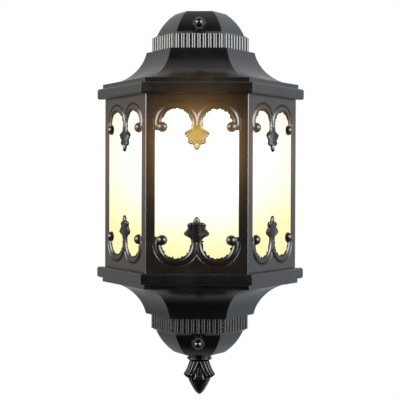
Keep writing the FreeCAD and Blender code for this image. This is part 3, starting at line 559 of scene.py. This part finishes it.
def finial_form():
    """Radius and painted shine of the finial over its depths and its half turn."""
    phi = np.linspace(-90, 90, FINIAL_COLUMNS)[None, :]
    ring_rows = np.linspace(0, RING_END, RING_ROWS)
    bud_rows = np.linspace(BUD_START, FINIAL_DROP - TIP_GAP, BUD_ROWS)
    d = np.concatenate([ring_rows, bud_rows])[:, None]

    bud = np.interp(d, BUD_D, BUD_R) * (1 + BUD_FLUTE * np.cos(np.radians(phi * BUD_FLUTES)))
    spread = np.clip((d - PETAL_TOP) / PETAL_LENGTH, 0, PETAL_MOST)
    lean = (np.abs(phi) - PETAL_PART * spread) / (1 - PETAL_NARROW * spread)
    end = PETAL_END - PETAL_END_RISE * between(lean, 0, 90) ** PETAL_END_CURVE
    rib = np.cos(np.radians((lean - PETAL_RIB_FIRST) * 360 / PETAL_RIB_TURN))
    petal = np.interp(d, PETAL_D, PETAL_R) + PETAL_RIB * rib
    rim = between(lean, PETAL_SIDE_ROUND, 0) ** 2 + between(end - d, PETAL_END_ROUND, 0) ** 2
    petal = bud + (petal - bud) * np.sqrt(np.clip(1 - rim, 0, 1))
    ring = np.where(d < RING_END, np.interp(d, RING_D, RING_R), 0)

    radius = np.maximum(np.maximum(bud, petal), ring)
    on_petal = (petal > bud + PETAL_PROUD) & (petal > ring)
    # Painted highlights on the petals' rib crests with painted shade between them; elsewhere the face shine
    painted_shine = np.where(on_petal, np.clip(rib, 0, 1) ** PETAL_RIB_SHINE, FACE_SHINE)
    return phi, d, radius, painted_shine


def finial():
    """Half-round finial: a grooved ring, two ribbed petals and a fluted bud, flat at the wall."""
    phi, d, radius, painted_shine = finial_form()
    turn = np.radians(phi)
    x = radius * np.sin(turn)
    y = -radius * np.cos(turn)
    z = DOME_END - d + 0 * phi
    y[:, 0] = 0
    y[:, -1] = 0
    verts = np.stack([x, y, z], -1).reshape(-1, 3)
    down, around = radius.shape
    faces = []
    for i in range(down - 1):
        for j in range(around - 1):
            one = i * around + j
            faces.append((one, one + 1, one + around + 1, one + around))
        left, right = i * around, i * around + around - 1
        faces.append((left, left + around, right + around, right))
    faces.append(tuple(range(around)))
    faces.append(tuple(range((down - 1) * around, down * around))[::-1])
    obj = mesh_object("finial_casting", verts, faces)
    sharpen(obj, FINIAL_SHARP)
    point_values(obj, "painted_shine", painted_shine.ravel())
    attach(obj, "root")
    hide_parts("finial")
    return obj


# Glazing compound: a bead whose inner edge drifts and has specks
BEAD_STEPS = 240
BEAD_SWEEP = (-12, 194)
DRIFT_WIDTH = 8
DRIFT_MARGIN = 10
SPECK_SOFT = [0.15, 0.3, 0.35, 0.3, 0.15]
SPECK_MOST = 2
SPECK = 0.35
SMEAR = 0.75
SMEAR_DRIFT = 1.2
SMEAR_SPAN = (0.05, 1.8)
SMEAR_INSET = 0.1
SMEAR_RISE = 0.25
SMEAR_SWELL = (-0.4, 0.6)
SMEAR_LAP = 0.3
SMEAR_CROWN = 0.1
SMEAR_BEVEL = 0.35
SMEAR_EDGE = 0.02
SMEAR_SHARP = 70


def smear_section():
    """Radii and heights of the four lines along one bead; its draws are the only random ones."""
    noise = rng.normal(0, 1, BEAD_STEPS + 2 * DRIFT_MARGIN)
    drift = np.convolve(noise, np.ones(DRIFT_WIDTH) / DRIFT_WIDTH, "same")[DRIFT_MARGIN:-DRIFT_MARGIN]
    speck = np.convolve(np.clip(rng.normal(0, 1, BEAD_STEPS), 0, SPECK_MOST), SPECK_SOFT, "same")
    inner = HOLE_R - SMEAR_INSET - np.clip(SMEAR + SMEAR_DRIFT * drift, *SMEAR_SPAN) - SPECK * speck
    top = SMEAR_RISE - LIP + SMEAR_RISE * between(drift, *SMEAR_SWELL)
    return (
        (np.full(BEAD_STEPS, HOLE_R + SMEAR_LAP), np.full(BEAD_STEPS, -LIP)),
        (np.full(BEAD_STEPS, HOLE_R + SMEAR_INSET), top + SMEAR_CROWN),
        (inner + SMEAR_BEVEL, top),
        (inner, np.full(BEAD_STEPS, SMEAR_EDGE - LIP)),
    )


def sealant():
    """Ragged bead of glazing compound along the inside of each arch."""
    turns = np.radians(np.linspace(*BEAD_SWEEP, BEAD_STEPS))
    verts, faces = [], []
    places = [(degrees, up, side) for degrees, _ in FACETS.values() for up in (1, -1) for side in (-1, 1)]
    for degrees, up, side in places:
        base = len(verts)
        for radius, h in smear_section():
            u = side * (ARCH[0] - radius * np.cos(turns))
            z = up * (ARCH[1] + radius * np.sin(turns))
            verts.extend(on_facet(degrees, u, z, h))
        for k in range(BEAD_STEPS - 1):
            for s in range(4):
                one = base + s * BEAD_STEPS + k
                two = base + (s + 1) % 4 * BEAD_STEPS + k
                faces.append((one, one + 1, two + 1, two))
        for k in (0, BEAD_STEPS - 1):
            faces.append(tuple(base + s * BEAD_STEPS + k for s in range(4)))
    obj = mesh_object("glazing_compound", verts, faces)
    sharpen(obj, SMEAR_SHARP)
    # Painted glare on the compound, warmest at the lamp's height
    point_values(obj, "halo", HALO * lamp_glow(np.asarray(verts)[:, 2]))
    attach(obj, "root")
    return obj


# Materials

NOISE_DETAIL = 4.0
NOISE_ROUGHNESS = 0.55
MOTTLE_LOW = 0.3
MOTTLE_HIGH = 0.7
WHITE = (1, 1, 1, 1)


def grey(value):
    return (value, value, value)


class Graph:
    """A node tree, with short ways to add the nodes that the materials use."""

    def __init__(self, tree):
        self.nodes = tree.nodes
        self.links = tree.links

    def join(self, source, socket):
        self.links.new(source, socket)

    def coordinates(self, kind="Object"):
        return self.nodes.new("ShaderNodeTexCoord").outputs[kind]

    def split(self, vector):
        made = self.nodes.new("ShaderNodeSeparateXYZ")
        self.join(vector, made.inputs[0])
        return made.outputs

    def attribute(self, name):
        made = self.nodes.new("ShaderNodeAttribute")
        made.attribute_name = name
        return made.outputs["Fac"]

    def maths(self, operation, *values):
        made = self.nodes.new("ShaderNodeMath")
        made.operation = operation
        for socket, value in zip(made.inputs, values):
            if isinstance(value, (int, float)):
                socket.default_value = value
            else:
                self.join(value, socket)
        return made.outputs[0]

    def noise(self, scale):
        made = self.nodes.new("ShaderNodeTexNoise")
        made.inputs["Scale"].default_value = scale
        made.inputs["Detail"].default_value = NOISE_DETAIL
        made.inputs["Roughness"].default_value = NOISE_ROUGHNESS
        self.join(self.coordinates(), made.inputs["Vector"])
        return made.outputs["Fac"]

    def ramp(self, source, stops):
        made = self.nodes.new("ShaderNodeValToRGB")
        spots = made.color_ramp.elements
        while len(spots) < len(stops):
            spots.new(0.5)
        for spot, (place, color) in zip(spots, stops):
            spot.position = place
            spot.color = (*color, 1)
        self.join(source, made.inputs["Fac"])
        return made.outputs["Color"]

    def mottle(self, scale, low, high):
        """Soft patches between two colours."""
        return self.ramp(self.noise(scale), [(MOTTLE_LOW, low), (MOTTLE_HIGH, high)])

    def mix_color(self, share, one, two):
        """A colour that goes from a socket's to a plain one."""
        made = self.nodes.new("ShaderNodeMix")
        made.data_type = "RGBA"
        made.inputs[7].default_value = two
        self.join(share, made.inputs[0])
        self.join(one, made.inputs[6])
        return made.outputs[2]

    def mix_shader(self, share, one, two):
        made = self.nodes.new("ShaderNodeMixShader")
        for socket, source in zip(made.inputs, (share, one, two)):
            self.join(source, socket)
        return made.outputs[0]

    def distance_to(self, point):
        """Distance in metres from a point in millimetres."""
        made = self.nodes.new("ShaderNodeVectorMath")
        made.operation = "DISTANCE"
        made.inputs[1].default_value = [v * MM for v in point]
        self.join(self.coordinates(), made.inputs[0])
        return made.outputs["Value"]


def material(name):
    made = bpy.data.materials.new(name)
    made.use_nodes = True
    return made, Graph(made.node_tree), made.node_tree.nodes["Principled BSDF"]


PEEL_SCALE = 900
PEEL_STRENGTH = 0.025
PEEL_DEPTH = 0.2
COAT_PATCH = 25
COAT_DARK = (0.0012, 0.0011, 0.0011)
COAT_LIGHT = (0.0024, 0.0023, 0.0023)
GLOSS_PATCH = 60
GLOSS_LOSS = 0.05
GLOSS_GAIN = 0.06
BEVEL_SAMPLES = 8
EDGE_HIGHLIGHT = (0.035, 0.033, 0.032, 1)
EDGE_HIGHLIGHT_PATCH = 180
EDGE_HIGHLIGHT_STOPS = [(0.0, grey(0.0)), (0.08, grey(1.0))]
CREST_SHINE = 0.6
LEAST_SHINE = 0.05
DOWNWARD_STOPS = [(0.05, grey(0.2)), (0.5, grey(1.0))]
GLARE_STOPS = [(0.0, (1.0, 0.52, 0.17)), (0.2, (1.0, 0.55, 0.16)), (0.5, (1.0, 0.66, 0.15))]


def paint(name, edge_radius, roughness=0.24, glare=True, painted_shine=False, shine=0.62):
    """Semi-gloss black powder coat with a fine orange peel, edges painted lighter as highlights, and where
    asked a painted shine and a painted warm glare.
    """
    made, graph, shader = material(name)
    bevel = graph.nodes.new("ShaderNodeBevel")
    bevel.samples = BEVEL_SAMPLES
    bevel.inputs["Radius"].default_value = edge_radius * MM
    peel = graph.nodes.new("ShaderNodeBump")
    peel.inputs["Strength"].default_value = PEEL_STRENGTH
    peel.inputs["Distance"].default_value = PEEL_DEPTH * MM
    graph.join(graph.noise(PEEL_SCALE), peel.inputs["Height"])
    graph.join(bevel.outputs[0], peel.inputs["Normal"])
    graph.join(peel.outputs[0], shader.inputs["Normal"])
    gloss = graph.mottle(GLOSS_PATCH, grey(roughness - GLOSS_LOSS), grey(roughness + GLOSS_GAIN))
    graph.join(gloss, shader.inputs["Roughness"])

    # Painted highlight: at edges, where the bevelled normal turns from the true one, the coat is painted
    # lighter in patches
    normal = graph.nodes.new("ShaderNodeNewGeometry").outputs["Normal"]
    turn = graph.nodes.new("ShaderNodeVectorMath")
    turn.operation = "DOT_PRODUCT"
    graph.join(bevel.outputs[0], turn.inputs[0])
    graph.join(normal, turn.inputs[1])
    painted_light = graph.maths("SUBTRACT", 1.0, turn.outputs["Value"])
    painted_light = graph.maths("MULTIPLY", painted_light, graph.noise(EDGE_HIGHLIGHT_PATCH))
    painted_light = graph.ramp(painted_light, EDGE_HIGHLIGHT_STOPS)
    tone = graph.mottle(COAT_PATCH, COAT_DARK, COAT_LIGHT)
    graph.join(graph.mix_color(painted_light, tone, EDGE_HIGHLIGHT), shader.inputs["Base Color"])

    shader.inputs["Specular IOR Level"].default_value = shine
    # Painted shine: the attribute sets the coat's shine, low in grooves and valleys as painted shade, high
    # on crests as painted highlights
    if painted_shine:
        level = graph.maths("MULTIPLY_ADD", graph.attribute("painted_shine"), CREST_SHINE, LEAST_SHINE)
        graph.join(level, shader.inputs["Specular IOR Level"])
    # Painted glare: the coat emits a warm glow near the lit glass, less on faces that look down
    if glare:
        away = graph.distance_to(GLARE_SPOT)
        power = graph.maths("MULTIPLY_ADD", away, -1 / (GLARE_REACH * MM), GLARE_START / GLARE_REACH)
        level = graph.maths("MULTIPLY", graph.maths("EXPONENT", power), GLARE)
        level = graph.maths("ADD", level, graph.attribute("halo"))
        upright = graph.ramp(graph.maths("ADD", graph.split(normal)["Z"], 1.0), DOWNWARD_STOPS)
        level = graph.maths("MULTIPLY", graph.maths("MINIMUM", level, GLARE_MOST), upright)
        graph.join(level, shader.inputs["Emission Strength"])
        graph.join(graph.ramp(level, GLARE_STOPS), shader.inputs["Emission Color"])
    return made


# Glass with the lamp's light painted in as emission: distances from the lamp are in tenths of a metre
TENTHS = 10.0
LAMP_HEIGHT = 0.28
SIDE_STOPS = [
    (0.0, grey(0.0)), (0.34, grey(0.27)), (0.53, grey(0.5)), (0.68, grey(0.58)), (0.85, grey(0.67)),
]
STREAK_STRETCH = (1.0, 1.0, 0.06)
STREAK_SCALE = 420.0
STREAK = 0.08
LIT_STOPS = [
    (0.53, (1.0, 1.0, 1.0)), (0.62, (1.0, 1.0, 0.90)), (0.71, (1.0, 1.0, 0.80)), (0.80, (1.0, 0.97, 0.63)),
    (0.88, (1.0, 0.94, 0.53)), (0.95, (1.0, 0.90, 0.45)),
]
LIT_LEVELS = [(0.35, grey(1.0)), (0.62, grey(0.68))]
LIT_STRENGTH = 1.45
FROST_PATCH = 400
FROST_LOW = 0.5
FROST_HIGH = 0.62
GLASS_BODY = (0.02, 0.02, 0.017, 1)
GLASS_SHINE = 0.1


def frosted_glass():
    """Acid-frosted glass with the lamp's light painted in as emission: white near the lamp, straw yellow
    away from it.
    """
    made, graph, shader = material("frosted_glass")
    where = graph.coordinates()
    axes = graph.split(where)
    side = graph.maths("MULTIPLY", graph.maths("ABSOLUTE", axes["X"]), TENTHS)
    side = graph.ramp(side, SIDE_STOPS)
    drop = graph.maths("MULTIPLY_ADD", axes["Z"], TENTHS, -LAMP_HEIGHT)
    square = graph.maths("MULTIPLY_ADD", drop, drop, graph.maths("MULTIPLY", side, side))
    away = graph.maths("SQRT", square)
    stretch = graph.nodes.new("ShaderNodeVectorMath")
    stretch.operation = "MULTIPLY"
    stretch.inputs[1].default_value = STREAK_STRETCH
    graph.join(where, stretch.inputs[0])
    streak = graph.nodes.new("ShaderNodeTexNoise")
    streak.inputs["Scale"].default_value = STREAK_SCALE
    graph.join(stretch.outputs[0], streak.inputs["Vector"])
    away = graph.maths("MULTIPLY_ADD", streak.outputs["Fac"], STREAK, graph.maths("ADD", away, -STREAK / 2))
    graph.join(graph.ramp(away, LIT_STOPS), shader.inputs["Emission Color"])
    level = graph.maths("MULTIPLY", graph.ramp(away, LIT_LEVELS), LIT_STRENGTH)
    graph.join(level, shader.inputs["Emission Strength"])
    shader.inputs["Base Color"].default_value = GLASS_BODY
    shader.inputs["Specular IOR Level"].default_value = GLASS_SHINE
    graph.join(graph.mottle(FROST_PATCH, grey(FROST_LOW), grey(FROST_HIGH)), shader.inputs["Roughness"])
    return made


SURFACE_PATCH = 120
SHEEN_PATCH = 300
SHEEN_LOSS = 0.06
SHEEN_GAIN = 0.08


def surface(name, low, high, roughness, metallic=0.0):
    """A plain surface with soft patches of tone and sheen."""
    made, graph, shader = material(name)
    graph.join(graph.mottle(SURFACE_PATCH, low, high), shader.inputs["Base Color"])
    sheen = graph.mottle(SHEEN_PATCH, grey(roughness - SHEEN_LOSS), grey(roughness + SHEEN_GAIN))
    graph.join(sheen, shader.inputs["Roughness"])
    shader.inputs["Metallic"].default_value = metallic
    return made


OPAL_PATCH = 80
OPAL_DARK = (0.93, 0.91, 0.84)
OPAL_LIGHT = (0.97, 0.95, 0.90)
OPAL_GLOW = (1.0, 0.9, 0.66, 1)
OPAL_ROUGHNESS = 0.4
OPAL_MIDDLE = (0, -30, 50)
OPAL_FALL = 12.0
OPAL_STOPS = [(0.2, grey(1.0)), (0.6, grey(0.3))]


def lamp_opal():
    """White bulb that glows most in its middle."""
    made, graph, shader = material("lamp_opal")
    tone = graph.mottle(OPAL_PATCH, OPAL_DARK, OPAL_LIGHT)
    graph.join(tone, shader.inputs["Base Color"])
    away = graph.maths("MULTIPLY", graph.distance_to(OPAL_MIDDLE), OPAL_FALL)
    graph.join(graph.ramp(away, OPAL_STOPS), shader.inputs["Emission Strength"])
    shader.inputs["Emission Color"].default_value = OPAL_GLOW
    shader.inputs["Roughness"].default_value = OPAL_ROUGHNESS
    return made


BY_SLOT = {
    "black_casting": paint("black_powder_coat", 0.25),
    "black_nut": paint("gloss_black", 0.25, roughness=0.2, glare=False),
    "frosted_glass": frosted_glass(),
    "seal_rubber": surface("black_rubber", (0.012, 0.011, 0.010), (0.024, 0.021, 0.019), 0.55),
    "zinc_steel": surface("zinc_plate", (0.42, 0.42, 0.41), (0.62, 0.62, 0.60), 0.38, 1.0),
    "porcelain": surface("glazed_porcelain", (0.82, 0.81, 0.77), (0.88, 0.87, 0.84), 0.2),
    "contact_brass": surface("plain_brass", (0.60, 0.42, 0.17), (0.75, 0.56, 0.26), 0.3, 1.0),
    "lamp_plastic": lamp_opal(),
    "block_plastic": surface("cream_plastic", (0.80, 0.78, 0.71), (0.88, 0.86, 0.80), 0.45),
}
frame_paint = paint("black_frame_coat", 0.2, painted_shine=True)
finial_paint = paint("black_painted_shine", 0.25, roughness=0.2, glare=False, painted_shine=True)
compound = paint("soft_compound", 0.1, roughness=0.5, shine=0.15)


def dress(obj, made):
    obj.data.materials.clear()
    obj.data.materials.append(made)


for part in frame["record"]["subparts"]:
    dress(frame["nodes"][part["node"]], BY_SLOT[part["material_slot"]])
dress(window_frame(), frame_paint)
dress(finial(), finial_paint)
dress(sealant(), compound)

# Stage, in metres: floor, world, lights and camera

FLOOR_Z = -1.9
FLOOR_HALF = 5.0
FLOOR_PATCH = 3
FLOOR_DARK = 0.84
FLOOR_LIGHT = 0.88
FLOOR_ROUGHNESS = 0.9
# Slopes and middles of gradients along an axis
FLOOR_BACK = (0.25, 0.5)
FLOOR_SIDE = (0.08, 0.77)
FLOOR_TINT = (0.1, 0.5)
WORLD_SIDE = (0.235, 0.94)
FULL_TURN = (0.5, 0.5)
# Stops of those gradients
FLOOR_BACK_STOPS = [(0.42, grey(0.03)), (0.65, grey(0.6))]
FLOOR_TINTS = [(0.3, (1.0, 1.0, 0.99)), (0.7, (0.85, 0.92, 1.0))]
BEHIND_STOPS = [(0.25, grey(0.02)), (0.5, grey(0.34)), (0.64, grey(0.76))]
ABOVE_STOPS = [(0.84, grey(0.0)), (1.0, grey(0.55))]
WORLD_TINTS = [(0.2, (1.0, 0.965, 0.915)), (0.8, (0.88, 0.94, 1.0))]
FILL = 0.5


def floor_material():
    """Pale floor: white to the camera, and a soft gradient in the gloss of the part."""
    made, graph, shader = material("pale_floor")
    graph.join(graph.mottle(FLOOR_PATCH, grey(FLOOR_DARK), grey(FLOOR_LIGHT)), shader.inputs["Base Color"])
    shader.inputs["Roughness"].default_value = FLOOR_ROUGHNESS
    rays = graph.nodes.new("ShaderNodeLightPath").outputs
    axes = graph.split(graph.coordinates())
    back = graph.ramp(graph.maths("MULTIPLY_ADD", axes["Y"], *FLOOR_BACK), FLOOR_BACK_STOPS)
    share = graph.maths("MULTIPLY_ADD", axes["X"], *FLOOR_SIDE)
    tint = graph.ramp(graph.maths("MULTIPLY_ADD", axes["X"], *FLOOR_TINT), FLOOR_TINTS)
    gloss = graph.nodes.new("ShaderNodeEmission")
    graph.join(tint, gloss.inputs["Color"])
    graph.join(graph.maths("MULTIPLY", back, share), gloss.inputs["Strength"])
    pale = graph.nodes.new("ShaderNodeEmission")
    pale.inputs["Color"].default_value = WHITE
    both = graph.mix_shader(rays["Is Glossy Ray"], shader.outputs[0], gloss.outputs[0])
    whole = graph.mix_shader(rays["Is Camera Ray"], both, pale.outputs[0])
    graph.join(whole, graph.nodes["Material Output"].inputs["Surface"])
    return made


def make_floor():
    mesh = bpy.data.meshes.new("floor")
    corners = [(x * FLOOR_HALF, y * FLOOR_HALF, FLOOR_Z) for x, y in ((-1, -1), (1, -1), (1, 1), (-1, 1))]
    mesh.from_pydata(corners, [], [(0, 1, 2, 3)])
    obj = bpy.data.objects.new("floor", mesh)
    bpy.context.scene.collection.objects.link(obj)
    dress(obj, floor_material())


def make_world():
    """White to the camera; in the part's gloss bright behind and dim in front; a low even fill."""
    world = bpy.data.worlds.new("studio")
    bpy.context.scene.world = world
    world.use_nodes = True
    graph = Graph(world.node_tree)
    rays = graph.nodes.new("ShaderNodeLightPath").outputs
    seen = graph.maths("MAXIMUM", rays["Is Camera Ray"], rays["Is Glossy Ray"])
    seen = graph.maths("MAXIMUM", seen, rays["Is Transmission Ray"])
    axes = graph.split(graph.coordinates("Generated"))
    behind = graph.ramp(graph.maths("MULTIPLY_ADD", axes["Y"], *FULL_TURN), BEHIND_STOPS)
    above = graph.ramp(axes["Z"], ABOVE_STOPS)
    level = graph.maths("MAXIMUM", behind, above)
    level = graph.maths("MULTIPLY", level, graph.maths("MULTIPLY_ADD", axes["X"], *WORLD_SIDE))
    level = graph.maths("MAXIMUM", level, rays["Is Camera Ray"])
    tint = graph.ramp(graph.maths("MULTIPLY_ADD", axes["X"], *FULL_TURN), WORLD_TINTS)
    background = graph.nodes["Background"].inputs
    graph.join(graph.mix_color(rays["Is Camera Ray"], tint, WHITE), background["Color"])
    mix = graph.nodes.new("ShaderNodeMix")
    mix.data_type = "FLOAT"
    graph.join(seen, mix.inputs[0])
    graph.join(graph.maths("MULTIPLY", level, FILL), mix.inputs[2])
    graph.join(level, mix.inputs[3])
    graph.join(mix.outputs[0], background["Strength"])


BOX_WIDE = 1.4
HIGH_BOX = (1.04, -0.60, 0.33)
HIGH_BOX_AIM = (0, 0, 0.0)
HIGH_BOX_TALL = 0.78
LOW_BOX = (1.04, -0.60, -0.32)
LOW_BOX_AIM = (0, 0, -0.1)
LOW_BOX_TALL = 0.44


def soft_box(name, side, place, target, tall, power, color):
    light = bpy.data.lights.new(name, "AREA")
    light.shape = "RECTANGLE"
    light.size = BOX_WIDE
    light.size_y = tall
    light.energy = power
    light.color = color
    obj = bpy.data.objects.new(name, light)
    bpy.context.scene.collection.objects.link(obj)
    obj.location = (side * place[0], place[1], place[2])
    obj.rotation_euler = (Vector(target) - obj.location).to_track_quat("-Z", "Y").to_euler()


CAMERA_FAR = 1.140
CAMERA_SIDE = 0.042
CAMERA_LEVEL = 0.00155
CAMERA_TIP = -0.905
CAMERA_ROLL = 0.2
SENSOR = 36.0
VIEW_WIDE = 0.400


def make_camera():
    """Camera a little to the right of the lantern's middle, tipped down and rolled by a trace."""
    data = bpy.data.cameras.new("camera")
    data.sensor_width = SENSOR
    data.lens = SENSOR * CAMERA_FAR / VIEW_WIDE
    obj = bpy.data.objects.new("camera", data)
    bpy.context.scene.collection.objects.link(obj)
    obj.location = (CAMERA_SIDE, -CAMERA_FAR, CAMERA_LEVEL)
    aim = (Vector((0, 0, CAMERA_LEVEL)) - obj.location).to_track_quat("-Z", "Y")
    tip = Quaternion((1, 0, 0), math.radians(CAMERA_TIP))
    roll = Quaternion((0, 0, 1), math.radians(CAMERA_ROLL))
    obj.rotation_euler = (aim @ tip @ roll).to_euler()
    bpy.context.scene.camera = obj


make_floor()
make_world()
soft_box("left_box", -1, HIGH_BOX, HIGH_BOX_AIM, HIGH_BOX_TALL, 42, (1.0, 0.97, 0.92))
soft_box("right_box", 1, HIGH_BOX, HIGH_BOX_AIM, HIGH_BOX_TALL, 47, (0.88, 0.93, 1.0))
soft_box("left_low_box", -1, LOW_BOX, LOW_BOX_AIM, LOW_BOX_TALL, 2.6, (1, 1, 1))
soft_box("right_low_box", 1, LOW_BOX, LOW_BOX_AIM, LOW_BOX_TALL, 4.2, (0.92, 0.95, 1.0))
make_camera()
bpy.context.scene.view_settings.view_transform = "Standard"
